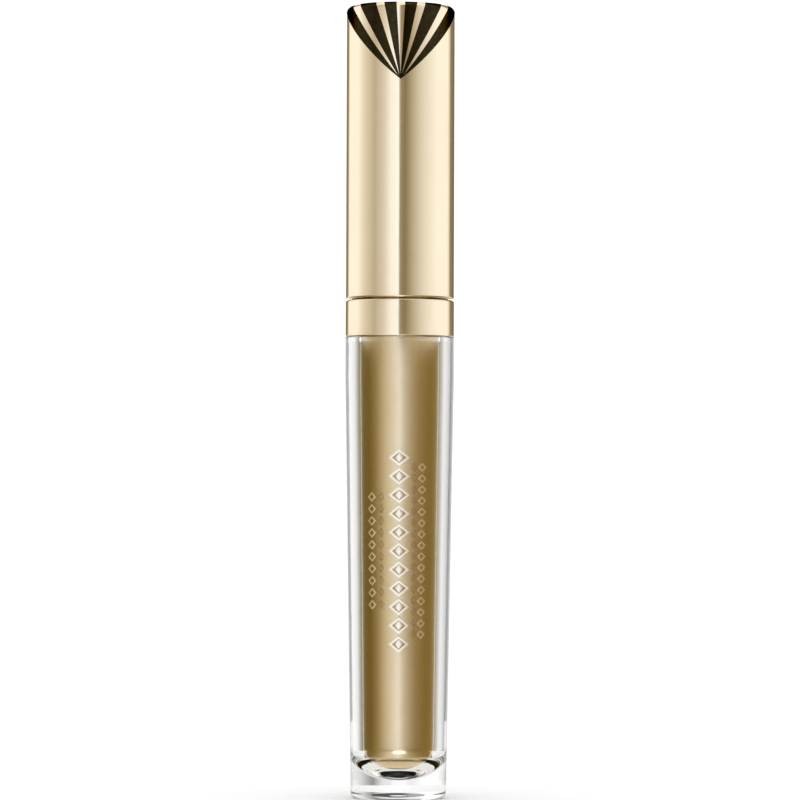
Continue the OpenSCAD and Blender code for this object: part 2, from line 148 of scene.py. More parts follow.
def edit(piece, chosen=None):
    """Opens a piece in edit mode with only its chosen vertices selected, or with all of it."""
    deselect()
    piece.select_set(True)
    bpy.context.view_layer.objects.active = piece
    bpy.ops.object.mode_set(mode="EDIT")
    bpy.ops.mesh.select_mode(type="VERT")
    bpy.ops.mesh.select_all(action="SELECT" if chosen is None else "DESELECT")
    if chosen is not None:
        bpy.ops.object.mode_set(mode="OBJECT")
        for i in chosen:
            piece.data.vertices[i].select = True
        bpy.ops.object.mode_set(mode="EDIT")


def draw_line(name, points, closed):
    """One vertex drawn along points (across, up) in the plane of X and Z, left in edit mode, all selected."""
    deselect()
    x, z = points[0]
    bpy.ops.mesh.primitive_plane_add(size=MM, location=(x, 0, z))
    line = bpy.context.object
    line.name = line.data.name = name
    bpy.ops.object.transform_apply(location=True, rotation=False, scale=False)
    bpy.ops.object.mode_set(mode="EDIT")
    bpy.ops.mesh.merge(type="CENTER")
    for (x0, z0), (x1, z1) in zip(points, points[1:]):
        bpy.ops.mesh.extrude_region_move(TRANSFORM_OT_translate={"value": (x1 - x0, 0, z1 - z0)})
    if closed:
        edit(line, (0, len(points) - 1))
        bpy.ops.mesh.edge_face_add()
    bpy.ops.mesh.select_all(action="SELECT")
    return line


def finish_mesh(piece, smooth=30):
    """Merges doubles, points every face outwards and shades by angle."""
    edit(piece)
    bpy.ops.mesh.remove_doubles(threshold=SAME_POINT)
    bpy.ops.mesh.normals_make_consistent(inside=False)
    bpy.ops.object.mode_set(mode="OBJECT")
    bpy.ops.object.shade_smooth_by_angle(angle=math.radians(smooth))
    return piece


def held(points, closed):
    """The same line with a point close to both ends of each long straight, so that smooth shading stays flat
    along it and turns only at its corners."""
    line = []
    for i, here in enumerate(points):
        line.append(here)
        if i == len(points) - 1 and not closed:
            break
        on = Vector(points[(i + 1) % len(points)]) - Vector(here)
        if on.length > 10 * HOLD:
            step = on.normalized() * HOLD
            line += [tuple(Vector(here) + step), tuple(Vector(here) + on - step)]
    return line


def lathe(name, points, closed=True, segments=SEGMENTS):
    """A turned piece: its outline is drawn and spun round the axis."""
    piece = draw_line(name, held(points, closed), closed)
    bpy.ops.mesh.spin(steps=segments, angle=TURN, center=(0, 0, 0), axis=(0, 0, 1))
    return finish_mesh(piece)


def copy_of(pattern, *moves):
    """A copy with its own mesh, moved by each matrix in turn."""
    made = pattern.copy()
    made.data = pattern.data.copy()
    bpy.context.scene.collection.objects.link(made)
    for move in moves:
        made.data.transform(move)
    return made


def remove(piece):
    bpy.data.objects.remove(piece)


def join(pieces, name):
    deselect()
    for piece in pieces:
        piece.select_set(True)
    bpy.context.view_layer.objects.active = pieces[0]
    bpy.ops.object.join()
    pieces[0].name = pieces[0].data.name = name
    return pieces[0]


def apply(piece, kind, **settings):
    """Adds a modifier with its settings and applies it."""
    deselect()
    piece.select_set(True)
    bpy.context.view_layer.objects.active = piece
    modifier = piece.modifiers.new(kind.title(), kind)
    for setting, value in settings.items():
        setattr(modifier, setting, value)
    bpy.ops.object.modifier_apply(modifier=modifier.name)


def helix(name, root, height, start, width):
    """A screw thread on a wall of radius root, standing out by height, whose ends run down into the wall."""
    per_turn, run_out = 64, 10
    base, crest = root - math.copysign(0.2 * MM, height), root + height
    section = rounded((base, start - width / 2, 0), (crest, start - width / 5, 0.15),
                      (crest, start + width / 5, 0.15), (base, start + width / 2, 0), steps=3)
    ridge = draw_line(name, section, True)
    bpy.ops.object.mode_set(mode="OBJECT")
    steps = int(THREAD_TURNS * per_turn)
    apply(ridge, "SCREW", angle=THREAD_TURNS * TURN, screw_offset=THREAD_TURNS * THREAD_PITCH, steps=steps,
          render_steps=steps)
    count = len(section)
    for i in range(run_out):
        share = 0.15 + 0.85 * math.sin(math.pi / 2 * i / run_out)
        for ring in (i, steps - i):
            a = ring * TURN / per_turn
            edit(ridge, range(ring * count, (ring + 1) * count))
            bpy.ops.transform.resize(value=(share, share, share), center_override=(
                base * math.cos(a), base * math.sin(a), start + THREAD_PITCH * ring / per_turn))
    edit(ridge)
    bpy.ops.mesh.fill_holes(sides=0)
    return finish_mesh(ridge, smooth=50)


# ---------------------------------------------------------------- the tube
def vial_outline(grow):
    """The vial's outside from its bottom on the axis up to the top of its taper, lying out by grow."""
    dome_z = VIAL_BOTTOM + DOME_R
    drop = math.sqrt((DOME_R - CORNER_R) ** 2 - CORNER_X ** 2)
    lean = math.degrees(math.atan2(-drop, CORNER_X))
    return (arc(0, dome_z, DOME_R + grow, -90, lean, 4)
            + arc(CORNER_X, dome_z - drop, CORNER_R + grow, lean, 0, 48)[1:]
            + [(VIAL_TOP_R + grow, TAPER_TOP)])


def make_jacket():
    bend = (PUNT_R ** 2 + PUNT_DEPTH ** 2) / (2 * PUNT_DEPTH)
    reach = math.degrees(math.asin(PUNT_R / bend))
    seat = BODY_TOP - SEAT_GAP
    outside = (arc(0, PUNT_DEPTH - bend, bend, 90, 90 - reach, 32)
               + arc(FOOT_R - FOOT_EDGE, FOOT_EDGE, FOOT_EDGE, -90, 0, 20)
               + [(CAP_R, TAPER_TOP), (CAP_R, seat), (SPIGOT_R, seat), (SPIGOT_R, SPIGOT_TOP)])
    inside = vial_outline(VIAL_GAP) + [(VIAL_TOP_R + VIAL_GAP, SPIGOT_TOP)]
    return lathe("clear_jacket_shell", outside + inside[::-1])


def make_vial():
    outside = vial_outline(LACQUER)
    shoulder = rounded(
        (VIAL_TOP_R + LACQUER, SPIGOT_TOP, 0), (SPIGOT_R, SPIGOT_TOP, 0.1), (SPIGOT_R, SHOULDER_Z, 0.1),
        (NECK_R, SHOULDER_Z, 0.3), (NECK_R, NECK_TOP, 0.15), (BORE_R, NECK_TOP, 0.1), (BORE_R, NECK_BASE, 0.3),
        (VIAL_TOP_R - VIAL_WALL, CONE_BASE, 0))
    inside = vial_outline(-VIAL_WALL)
    bottle = lathe("vial_bottle", outside + shoulder + inside[::-1])
    thread = helix("neck_thread", NECK_R, THREAD_H, NECK_THREAD_Z, NECK_THREAD_W)
    return join([bottle, thread], "vial_bottle")


def make_collar():
    thread_hole = NECK_R + THREAD_H + COLLAR_CLEAR
    return lathe("collar_ring", rounded(
        (SPIGOT_R, BODY_TOP, 0.05), (CAP_R, BODY_TOP, 0.1), (CAP_R, COLLAR_TOP, 0.3),
        (thread_hole, COLLAR_TOP, 0.15), (thread_hole, SHOULDER_Z, 0.05), (SPIGOT_R, SHOULDER_Z, 0.05)))


def make_wiper():
    flat = WIPER_BOTTOM + LIP_L
    cone = flat + WIPER_CONE_L
    lip, wall = STEM_R + LIP_GAP, WIPER_WALL
    return lathe("wiper_sleeve", rounded(
        (lip, WIPER_BOTTOM, 0.15), (lip + wall, WIPER_BOTTOM, 0.2), (lip + wall, flat, 0.4), (BORE_R, cone, 0.8),
        (BORE_R, NECK_TOP, 0.08), (WIPER_FLANGE_R, NECK_TOP, 0.1), (WIPER_FLANGE_R, WIPER_TOP, 0.25),
        (BORE_R - wall, WIPER_TOP, 0.2), (BORE_R - wall, cone, 0.8), (lip, flat, 0.4)), segments=128)


def make_mascara():
    """The paste up to its level, with the channel that the brush leaves and a torn, uneven rim."""
    channel, floor_z = BRISTLE_R + CHANNEL_GAP, TIP_Z - CHANNEL_GAP
    wall = vial_outline(-VIAL_WALL)
    lean = (wall[-1][0] - wall[-2][0]) / (wall[-1][1] - wall[-2][1])
    rim = wall[-2][0] + lean * (FILL_TOP - wall[-2][1])
    climb = [channel + (rim - channel) * i / 6 for i in range(5, 0, -1)]
    sides = [floor_z + (FILL_TOP - floor_z) * i / 60 for i in range(60, 0, -1)]
    bottom = [(channel * i / 4, floor_z) for i in range(4, -1, -1)]
    paste = lathe("mascara_paste", wall[:-1] + [(rim, FILL_TOP)] + [(r, FILL_TOP) for r in climb]
                  + [(channel, z) for z in sides] + bottom, segments=96)
    loose = paste.vertex_groups.new(name="loose")
    for v in paste.data.vertices:
        r = math.hypot(v.co.x, v.co.y)
        if channel - STILL_EDGE / 4 < r < rim - STILL_EDGE and v.co.z > floor_z + STILL_EDGE:
            loose.add([v.index], 1.0, "REPLACE")
    lumps = bpy.data.textures.new("paste_lumps", "CLOUDS")
    lumps.noise_scale = LUMP_SIZE
    apply(paste, "DISPLACE", texture=lumps, texture_coords="LOCAL", strength=-LUMP_DEPTH, mid_level=0.0,
          vertex_group="loose")
    return finish_mesh(paste, smooth=60)


def lozenge(name, width, height, line):
    """A flat lozenge on the front plane: an outline of width line, or a solid one where line is 0."""
    deselect()
    bpy.ops.mesh.primitive_circle_add(vertices=4, radius=1, fill_type="NGON", rotation=(math.pi / 2, 0, 0))
    leaf = bpy.context.object
    leaf.name = leaf.data.name = name
    leaf.scale = (width / 2, height / 2, 1)
    bpy.ops.object.transform_apply(location=True, rotation=True, scale=True)
    edit(leaf)
    if line:
        bpy.ops.mesh.inset(thickness=line, use_even_offset=True)
        bpy.ops.mesh.delete(type="FACE")
        bpy.ops.mesh.select_all(action="SELECT")
        bpy.ops.mesh.subdivide(number_cuts=3)
    else:
        bpy.ops.mesh.poke()
        bpy.ops.mesh.subdivide(number_cuts=1)
    bpy.ops.object.mode_set(mode="OBJECT")
    return leaf


def make_ornament(jacket):
    """Rows of raised lozenges, wrapped onto the jacket's front."""
    leaves = []
    for angle, length, count, width, line, stud in ROWS:
        pitch = length / count
        patterns = [lozenge("lozenge", width, pitch - LOZENGE_GAP, line)]
        if stud:
            patterns.append(lozenge("stud", width * stud, pitch - LOZENGE_GAP, 0))
            patterns[1].data.transform(Matrix.Diagonal((1, 1, STUD_HEIGHT, 1)))
        for i in range(count):
            up = Matrix.Translation((0, -CAP_R, ORNAMENT_Z + (i + 0.5) * pitch - length / 2))
            leaves += [copy_of(p, up, Matrix.Rotation(math.radians(angle), 4, "Z")) for p in patterns]
        for p in patterns:
            remove(p)
    foil = join(leaves, "front_ornament_foil")
    apply(foil, "SHRINKWRAP", target=jacket, wrap_method="NEAREST_SURFACEPOINT", wrap_mode="ABOVE_SURFACE",
          offset=-ORNAMENT_SINK)
    face_out(foil)
    apply(foil, "SOLIDIFY", thickness=ORNAMENT_T, offset=1)
    apply(foil, "BEVEL", width=ORNAMENT_EDGE, segments=2, limit_method="ANGLE", angle_limit=math.radians(50))
    bpy.ops.object.shade_smooth_by_angle(angle=math.radians(35))
    return foil


def face_out(sheet):
    """Turns every face of an open sheet outwards, away from the axis or upwards."""
    edit(sheet)
    bpy.ops.mesh.normals_make_consistent(inside=False)
    bpy.ops.mesh.select_mode(type="FACE")
    bpy.ops.mesh.select_all(action="DESELECT")
    bpy.ops.object.mode_set(mode="OBJECT")
    for face in sheet.data.polygons:
        away = Vector((face.center.x, face.center.y, CAP_R))
        face.select = face.normal.dot(away) < 0
    bpy.ops.object.mode_set(mode="EDIT")
    bpy.ops.mesh.flip_normals()
    bpy.ops.mesh.select_mode(type="VERT")
    bpy.ops.object.mode_set(mode="OBJECT")


# ---------------------------------------------------------------- the cap and the brush
def make_overcap():
    bore, skin = CAP_R - CAP_WALL, CAP_R - ENAMEL_PROUD
    ceiling, top = CAP_TOP - CAP_TOP_T, CAP_TOP - ENAMEL_PROUD
    return lathe("overcap_shell", rounded((0, ceiling, 0), (bore, ceiling, 0.3), (bore, CAP_BOTTOM, 0.2),
                                          (skin, CAP_BOTTOM, SEAM_EDGE / MM), (skin, top, CAP_EDGE / MM),
                                          (0, top, 0), steps=20))


def make_fan():
    """The enamel fan: the cap's outer skin is cut along the stripes' edges, all raked back from one point,
    the gaps between the stripes are taken out, and the rest is given the enamel's depth."""
    tip = Vector((0, -CAP_R, CAP_TOP - FAN_H))
    rise = Vector((0, -math.sin(FAN_RAKE), math.cos(FAN_RAKE)))
    far = 40 * MM
    edges = sorted([(-b, -a) for a, b in STRIPES] + STRIPES)

    def spot(r, degrees):
        """A point in the plane square to the rake: r from the fan's point, degrees from upright."""
        return Vector((r * math.sin(math.radians(degrees)), r * math.cos(math.radians(degrees))))

    gaps = [[(spot(FAN_ROOT, (a + b) / 2), spot(far, a)), (spot(FAN_ROOT, (a + b) / 2), spot(far, b))]
            for (_, a), (b, _) in zip(edges, edges[1:])]
    outer = [(spot(0, 0), spot(far, edges[0][0])), (spot(0, 0), spot(far, edges[-1][1]))]

    def right_of(point, line):
        start, stop = line
        along, to = stop - start, point - start
        return along.y * to.x - along.x * to.y > 0

    low, high, steps = CAP_TOP - FAN_H - 0.5 * MM, CAP_TOP - CAP_EDGE, 14
    wall = [(CAP_R, low + (high - low) * i / steps) for i in range(steps)]
    skin = lathe("fan_enamel_stripes", wall + arc(CAP_R - CAP_EDGE, high, CAP_EDGE, 0, 88, 22),
                 closed=False, segments=384)
    for start, stop in [edge for gap in gaps for edge in gap] + outer:
        along = stop - start
        across = Vector((along.y, -along.x)).normalized()
        edit(skin)
        bpy.ops.mesh.bisect(plane_co=tip + start.x * Vector((1, 0, 0)) + start.y * rise,
                            plane_no=across.x * Vector((1, 0, 0)) + across.y * rise, threshold=0.0001 * MM)
    edit(skin)
    bpy.ops.mesh.select_mode(type="FACE")
    bpy.ops.mesh.select_all(action="DESELECT")
    bpy.ops.object.mode_set(mode="OBJECT")
    for face in skin.data.polygons:
        place = face.center - tip
        at = Vector((place.x, place.dot(rise)))
        kept = (right_of(at, outer[0]) and not right_of(at, outer[1]) and at.y > 0
                and not any(right_of(at, left) and not right_of(at, right) for left, right in gaps)
                and face.center.y < CAP_R / 2)
        face.select = not kept
    bpy.ops.object.mode_set(mode="EDIT")
    bpy.ops.mesh.delete(type="FACE")
    bpy.ops.mesh.select_mode(type="VERT")
    face_out(skin)
    apply(skin, "SOLIDIFY", thickness=FAN_DEPTH, offset=-1)
    bpy.ops.object.shade_smooth_by_angle(angle=math.radians(35))
    return skin


def rib(r0, r1, thick, low, high):
    """A rib on +X from radius r0 out to r1, with its upright edges rounded."""
    deselect()
    bpy.ops.mesh.primitive_cube_add(size=1, location=((r0 + r1) / 2, 0, (low + high) / 2))
    web = bpy.context.object
    web.scale = (r1 - r0, thick, high - low)
    bpy.ops.object.transform_apply(location=True, rotation=True, scale=True)
    apply(web, "BEVEL", width=0.12 * MM, segments=2, limit_method="ANGLE")
    return web


def make_inner_cap():
    """The threaded insert: a socket for the neck, a flange at its mouth, a ceiling and the boss over it."""
    mouth, relieved = ROOT_R + MOUTH_CLEAR, INNER_BOTTOM + MOUTH_H
    flange, ceiling = INNER_BOTTOM + FLANGE_H, CEILING_Z + CEILING_T
    grip, grip_top, floor_z = SHANK_R + FIT, SHANK_TOP + FIT, SHANK_TOP + BOSS_FLOOR
    body = lathe("inner_cap_insert", rounded(
        (mouth, INNER_BOTTOM, 0.15), (INNER_R, INNER_BOTTOM, 0.15), (INNER_R, flange, 0.15), (SOCKET_R, flange, 0.2),
        (SOCKET_R, CEILING_Z, 0.2), (INNER_R, CEILING_Z, 0.1), (INNER_R, ceiling, 0.15), (BOSS_R, ceiling, 0.4),
        (BOSS_R, INNER_TOP, 0.2), (BOSS_R - BOSS_WALL, INNER_TOP, 0.2), (BOSS_R - BOSS_WALL, floor_z, 0.2),
        (0, floor_z, 0), (0, grip_top, 0), (grip, grip_top, 0.1), (grip, CEILING_Z, 0.15), (ROOT_R, CEILING_Z, 0.2),
        (ROOT_R, relieved, 0.1), (mouth, relieved, 0.1)), segments=128)
    parts = [body, helix("cap_thread", ROOT_R, -THREAD_H, CAP_THREAD_Z, CAP_THREAD_W)]
    # ribs that centre the insert in the overcap: how many, their inner radius, and their two ends
    for count, r0, low, high in ((12, SOCKET_R, INNER_BOTTOM + 1.0 * MM, CEILING_Z + 0.2 * MM),
                                 (6, BOSS_R, CEILING_Z + 1.0 * MM, INNER_TOP)):
        pattern = rib(r0 - RIB_ROOT, INNER_R - RIB_GAP, RIB_T, low, high)
        parts += [copy_of(pattern, Matrix.Rotation(TURN * i / count, 4, "Z")) for i in range(count)]
        remove(pattern)
    return join(parts, "inner_cap_insert")


def make_stem():
    plug_z, plug_top = WIPER_TOP - PLUG_L, CEILING_Z - PLUG_GAP
    socket, socket_top = PEG_R + FIT, PEG_TOP + FIT
    return lathe("stem_rod", rounded(
        (socket, STEM_BOTTOM, 0.08), (STEM_R, STEM_BOTTOM, 0.2), (STEM_R, plug_z - PLUG_TAPER, 0.6),
        (PLUG_R, plug_z, 0.4), (PLUG_R, plug_top, 0.1), (SHANK_R, plug_top, 0.15), (SHANK_R, SHANK_TOP, 0.25),
        (0, SHANK_TOP, 0), (0, socket_top, 0), (socket, socket_top, 0)), segments=128)


def make_brush_core():
    nose = arc(0, TIP_Z + CORE_TIP_R, CORE_TIP_R, -90, 0, 10)
    throat, rest = STEM_R - 0.1 * MM, STEM_BOTTOM - FIT
    return lathe("brush_core_rod", nose + [(CORE_R, BRISTLE_TOP), (CORE_R, BRISTLE_TOP + 0.4 * MM)] + rounded(
        (throat, STEM_BOTTOM - 0.5 * MM, 0), (throat, rest, 0.1), (PEG_R, rest, 0), (PEG_R, PEG_TOP, 0.15),
        (0, PEG_TOP, 0)), segments=64)


def bristle_reach(share):
    """Radius over the bristles at a share of the brush's length, from its tip to the stem: shorter at both ends."""
    nose, heel = 0.5 + 3 * share, 0.72 + 2.2 * (1 - share)
    return CORE_R + (BRISTLE_R - CORE_R) * min(1, nose, heel)


def make_bristles():
    """A sleeve with rings of moulded spikes; each ring is turned by half a space against the last."""
    deselect()
    bpy.ops.mesh.primitive_circle_add(vertices=6, radius=SPIKE_R, fill_type="NGON",
                                      rotation=(0, math.pi / 2, 0))
    spike = bpy.context.object
    bpy.ops.object.transform_apply(location=True, rotation=True, scale=True)
    edit(spike)
    out = 0
    # each step: how far out, and how much slimmer than the one before
    for step, slim in ((0.12, 0.66), (0.38, 0.8), (0.38, 0.72), (0.09, 0.75), (0.03, 0.4)):
        out += step
        bpy.ops.mesh.extrude_region_move(TRANSFORM_OT_translate={"value": (step * MM, 0, 0)})
        bpy.ops.transform.resize(value=(slim, slim, slim), center_override=(out * MM, 0, 0))
    bpy.ops.object.mode_set(mode="OBJECT")
    sleeve_r = CORE_R + SLEEVE_T
    sleeve = lathe("brush_bristle_rows", rounded(
        (CORE_TIP_R, BRISTLE_BOTTOM, 0), (sleeve_r, BRISTLE_BOTTOM, 0.1), (sleeve_r, BRISTLE_TOP, 0.1),
        (CORE_R, BRISTLE_TOP, 0)), segments=48)
    pitch, root = (BRISTLE_TOP - BRISTLE_BOTTOM) / RINGS, sleeve_r - SPIKE_ROOT
    parts = [sleeve]
    for ring in range(RINGS):
        share = (ring + 0.5) / RINGS
        grow = Matrix.Diagonal(((bristle_reach(share) - root) / MM, 1, 1, 1))
        place = Matrix.Translation((root, 0, BRISTLE_BOTTOM + (ring + 0.5) * pitch))
        parts += [copy_of(spike, grow, place, Matrix.Rotation(TURN * (i + 0.5 * (ring % 2)) / SPIKES, 4, "Z"))
                  for i in range(SPIKES)]
    remove(spike)
    return finish_mesh(join(parts, "brush_bristle_rows"), smooth=40)


# ---------------------------------------------------------------- shared effects
def new_group(name, inputs, outputs):
    """A shader node group with number sockets: (tree, its input node, its output node)."""
    tree = bpy.data.node_groups.new(name, "ShaderNodeTree")
    for label, value in inputs:
        socket = tree.interface.new_socket(label, in_out="INPUT", socket_type="NodeSocketFloat")
        socket.default_value = value
    for label in outputs:
        tree.interface.new_socket(label, in_out="OUTPUT", socket_type="NodeSocketFloat")
    return tree, tree.nodes.new("NodeGroupInput"), tree.nodes.new("NodeGroupOutput")


def noise(tree, scale, detail, vector=None):
    """A noise texture on Object coordinates; scale is a number or a socket."""
    made = tree.nodes.new("ShaderNodeTexNoise")
    made.inputs["Detail"].default_value = detail
    if isinstance(scale, (int, float)):
        made.inputs["Scale"].default_value = scale
    else:
        tree.links.new(scale, made.inputs["Scale"])
    if vector is None:
        vector = tree.nodes.new("ShaderNodeTexCoord").outputs["Object"]
    tree.links.new(vector, made.inputs["Vector"])
    return made.outputs["Fac"]


def spread(tree, value, low, high, to_low=0.0, to_high=1.0):
    """A value spread from low..high to to_low..to_high; each end is a number or a socket."""
    made = tree.nodes.new("ShaderNodeMapRange")
    for socket, given in (("Value", value), ("From Min", low), ("From Max", high), ("To Min", to_low),
                          ("To Max", to_high)):
        if isinstance(given, (int, float)):
            made.inputs[socket].default_value = given
        else:
            tree.links.new(given, made.inputs[socket])
    return made.outputs[0]


def maths(tree, operation, a, b=0.0):
    """A Math node on one or two values, each a number or a socket."""
    made = tree.nodes.new("ShaderNodeMath")
    made.operation = operation
    for socket, given in zip(made.inputs, (a, b)):
        if isinstance(given, (int, float)):
            socket.default_value = given
        else:
            tree.links.new(given, socket)
    return made.outputs[0]


def build_smudges():
    """Where fingers have touched: broad soft patches broken up by finer ones."""
    tree, given, put = new_group("handling_smudges", [("Size", 120), ("Coverage", 0.5)], ["Mask"])
    broad = noise(tree, given.outputs["Size"], 2)
    fine = noise(tree, maths(tree, "MULTIPLY", given.outputs["Size"], 7), 3)
    both = maths(tree, "ADD", maths(tree, "MULTIPLY", broad, 0.7), maths(tree, "MULTIPLY", fine, 0.3))
    edge = maths(tree, "SUBTRACT", 0.85, maths(tree, "MULTIPLY", given.outputs["Coverage"], 0.6))
    tree.links.new(spread(tree, both, maths(tree, "SUBTRACT", edge, 0.12), maths(tree, "ADD", edge, 0.12)),
                   put.inputs["Mask"])
    return tree


def build_hairlines():
    """Fine upright lines that drawing and polishing leave."""
    tree, given, put = new_group("hairlines", [("Fineness", 9000), ("Length", 30)], ["Mask"])
    coords = tree.nodes.new("ShaderNodeTexCoord")
    squeeze = tree.nodes.new("ShaderNodeMapping")
    scale = tree.nodes.new("ShaderNodeCombineXYZ")
    scale.inputs[0].default_value = scale.inputs[1].default_value = 1
    tree.links.new(maths(tree, "DIVIDE", 1, given.outputs["Length"]), scale.inputs[2])
    tree.links.new(scale.outputs[0], squeeze.inputs["Scale"])
    tree.links.new(coords.outputs["Object"], squeeze.inputs["Vector"])
    lines = noise(tree, given.outputs["Fineness"], 2, squeeze.outputs[0])
    tree.links.new(spread(tree, lines, 0.35, 0.65), put.inputs["Mask"])
    return tree


def build_grain():
    """Fine even grain: moulded skin, pigment or paste, by its scale."""
    tree, given, put = new_group("fine_grain", [("Fineness", 6000), ("Contrast", 1)], ["Mask"])
    grain = noise(tree, given.outputs["Fineness"], 4)
    half = maths(tree, "DIVIDE", 0.25, given.outputs["Contrast"])
    tree.links.new(spread(tree, grain, maths(tree, "SUBTRACT", 0.5, half), maths(tree, "ADD", 0.5, half)),
                   put.inputs["Mask"])
    return tree


def build_height_band():
    """1 at a height over the table and fading to 0 within a reach above and below it."""
    tree, given, put = new_group("height_band", [("Height", 0), ("Reach", 0.001)], ["Mask"])
    coords = tree.nodes.new("ShaderNodeTexCoord")
    split = tree.nodes.new("ShaderNodeSeparateXYZ")
    tree.links.new(coords.outputs["Object"], split.inputs[0])
    away = maths(tree, "ABSOLUTE", maths(tree, "SUBTRACT", split.outputs[2], given.outputs["Height"]))
    tree.links.new(spread(tree, away, 0, given.outputs["Reach"], 1, 0), put.inputs["Mask"])
    return tree


SMUDGES, HAIRLINES, GRAIN, BAND = build_smudges(), build_hairlines(), build_grain(), build_height_band()


# ---------------------------------------------------------------- materials
def material(name, **constants):
    """A Principled material with these plain values: (material, node tree, shader)."""
    m = bpy.data.materials.new(name)
    m.use_nodes = True
    shader = m.node_tree.nodes["Principled BSDF"]
    for socket, value in constants.items():
        shader.inputs[socket.replace("_", " ")].default_value = value
    return m, m.node_tree, shader


def effect(tree, group, **values):
    """A shared effect placed in a material with its own values; its mask."""
    made = tree.nodes.new("ShaderNodeGroup")
    made.node_tree = group
    for socket, value in values.items():
        made.inputs[socket].default_value = value
    return made.outputs["Mask"]


def tint(tree, shader, mask, colour, changed, share):
    """Base Color goes from colour to changed where the mask is strong, up to share of the way."""
    made = tree.nodes.new("ShaderNodeMix")
    made.data_type = "RGBA"
    made.inputs["A"].default_value = (*colour, 1)
    made.inputs["B"].default_value = (*changed, 1)
    tree.links.new(maths(tree, "MULTIPLY", mask, share), made.inputs["Factor"])
    tree.links.new(made.outputs["Result"], shader.inputs["Base Color"])


def relief(tree, shader, mask, depth):
    """Fine relief of a depth in metres, from a mask."""
    bump = tree.nodes.new("ShaderNodeBump")
    bump.inputs["Strength"].default_value = 1.0
    bump.inputs["Distance"].default_value = depth
    tree.links.new(mask, bump.inputs["Height"])
    tree.links.new(bump.outputs[0], shader.inputs["Normal"])


def plated_gold():
    """Bright champagne-gold plating: smudged by hands, faintly drawn, and darkened along the seam between cap and
    collar by painted shade.
    """
    m, tree, shader = material("plated_gold", Metallic=1.0)
    smudge = effect(tree, SMUDGES, Size=90, Coverage=0.45)
    lines = effect(tree, HAIRLINES, Fineness=7000, Length=60)
    seam_shade = effect(tree, BAND, Height=(COLLAR_TOP + CAP_BOTTOM) / 2, Reach=0.6 * MM)
    # Base Color goes to a deeper gold in finger smudges and, as painted shade, in a band along the seam between cap
    # and collar
    tint(tree, shader, maths(tree, "MAXIMUM", seam_shade, maths(tree, "MULTIPLY", smudge, 0.3)),
         (0.93, 0.76, 0.5), (0.74, 0.56, 0.33), 0.5)
    wear = maths(tree, "ADD", maths(tree, "MULTIPLY", smudge, 0.03), maths(tree, "MULTIPLY", lines, 0.015))
    tree.links.new(maths(tree, "ADD", wear, 0.085), shader.inputs["Roughness"])
    relief(tree, shader, lines, 0.0006 * MM)
    return m


def pearl_gold():
    """The vial's gold lacquer, with a fine metal pigment in it."""
    m, tree, shader = material("pearl_gold", Metallic=1.0)
    flake = effect(tree, GRAIN, Fineness=9000, Contrast=1.2)
    flow = effect(tree, SMUDGES, Size=160, Coverage=0.5)
    tint(tree, shader, maths(tree, "ADD", maths(tree, "MULTIPLY", flake, 0.6), maths(tree, "MULTIPLY", flow, 0.4)),
         (0.86, 0.67, 0.38), (0.72, 0.52, 0.25), 0.6)
    tree.links.new(spread(tree, flake, 0, 1, 0.21, 0.27), shader.inputs["Roughness"])
    relief(tree, shader, flake, 0.0015 * MM)
    return m


def clear_plastic():
    """Thick clear moulding: a trace of flow in the surface, scuffed a little at the foot."""
    m, tree, shader = material("clear_plastic", Transmission_Weight=1.0, IOR=1.5)
    shader.inputs["Base Color"].default_value = (1, 1, 1, 1)
    smudge = effect(tree, SMUDGES, Size=110, Coverage=0.3)
    scuff = effect(tree, BAND, Height=0, Reach=0.5 * MM)
    grain = effect(tree, GRAIN, Fineness=5000, Contrast=2)
    worn = maths(tree, "MULTIPLY", scuff, maths(tree, "MULTIPLY", grain, 0.2))
    tree.links.new(maths(tree, "ADD", worn, maths(tree, "MULTIPLY", smudge, 0.012)), shader.inputs["Roughness"])
    relief(tree, shader, effect(tree, GRAIN, Fineness=420, Contrast=0.8), 0.006 * MM)
    return m


def stamped_foil():
    """Pale gold foil pressed onto the jacket, with pinholes where it took less well."""
    m, tree, shader = material("stamped_foil", Metallic=1.0)
    pinholes = effect(tree, GRAIN, Fineness=12000, Contrast=2.5)
    tint(tree, shader, pinholes, (0.97, 0.88, 0.68), (0.8, 0.66, 0.42), 0.35)
    tree.links.new(spread(tree, pinholes, 0, 1, 0.22, 0.34), shader.inputs["Roughness"])
    relief(tree, shader, pinholes, 0.002 * MM)
    return m


def black_enamel():
    """Nearly black, glassy enamel over the gold, with the soft ripple of a surface that levelled as it dried."""
    m, tree, shader = material("black_enamel", Metallic=1.0, Specular_Tint=(0.25, 0.19, 0.12, 1))
    ripple = effect(tree, GRAIN, Fineness=1400, Contrast=0.8)
    smudge = effect(tree, SMUDGES, Size=90, Coverage=0.45)
    tint(tree, shader, ripple, (0.02, 0.0135, 0.005), (0.045, 0.033, 0.013), 1.0)
    tree.links.new(spread(tree, smudge, 0, 1, 0.12, 0.2), shader.inputs["Roughness"])
    relief(tree, shader, ripple, 0.003 * MM)
    return m


def moulded(name, colour, changed, low, high, fineness, depth):
    """A plain moulded plastic or rubber: fine skin texture, handling marks, and uneven gloss."""
    m, tree, shader = material(name)
    skin = effect(tree, GRAIN, Fineness=fineness, Contrast=1.2)
    marks = effect(tree, SMUDGES, Size=200, Coverage=0.5)
    tint(tree, shader, maths(tree, "MAXIMUM", maths(tree, "MULTIPLY", skin, 0.5), marks), colour, changed, 0.7)
    tree.links.new(spread(tree, marks, 0, 1, low, high), shader.inputs["Roughness"])
    relief(tree, shader, skin, depth)
    return m


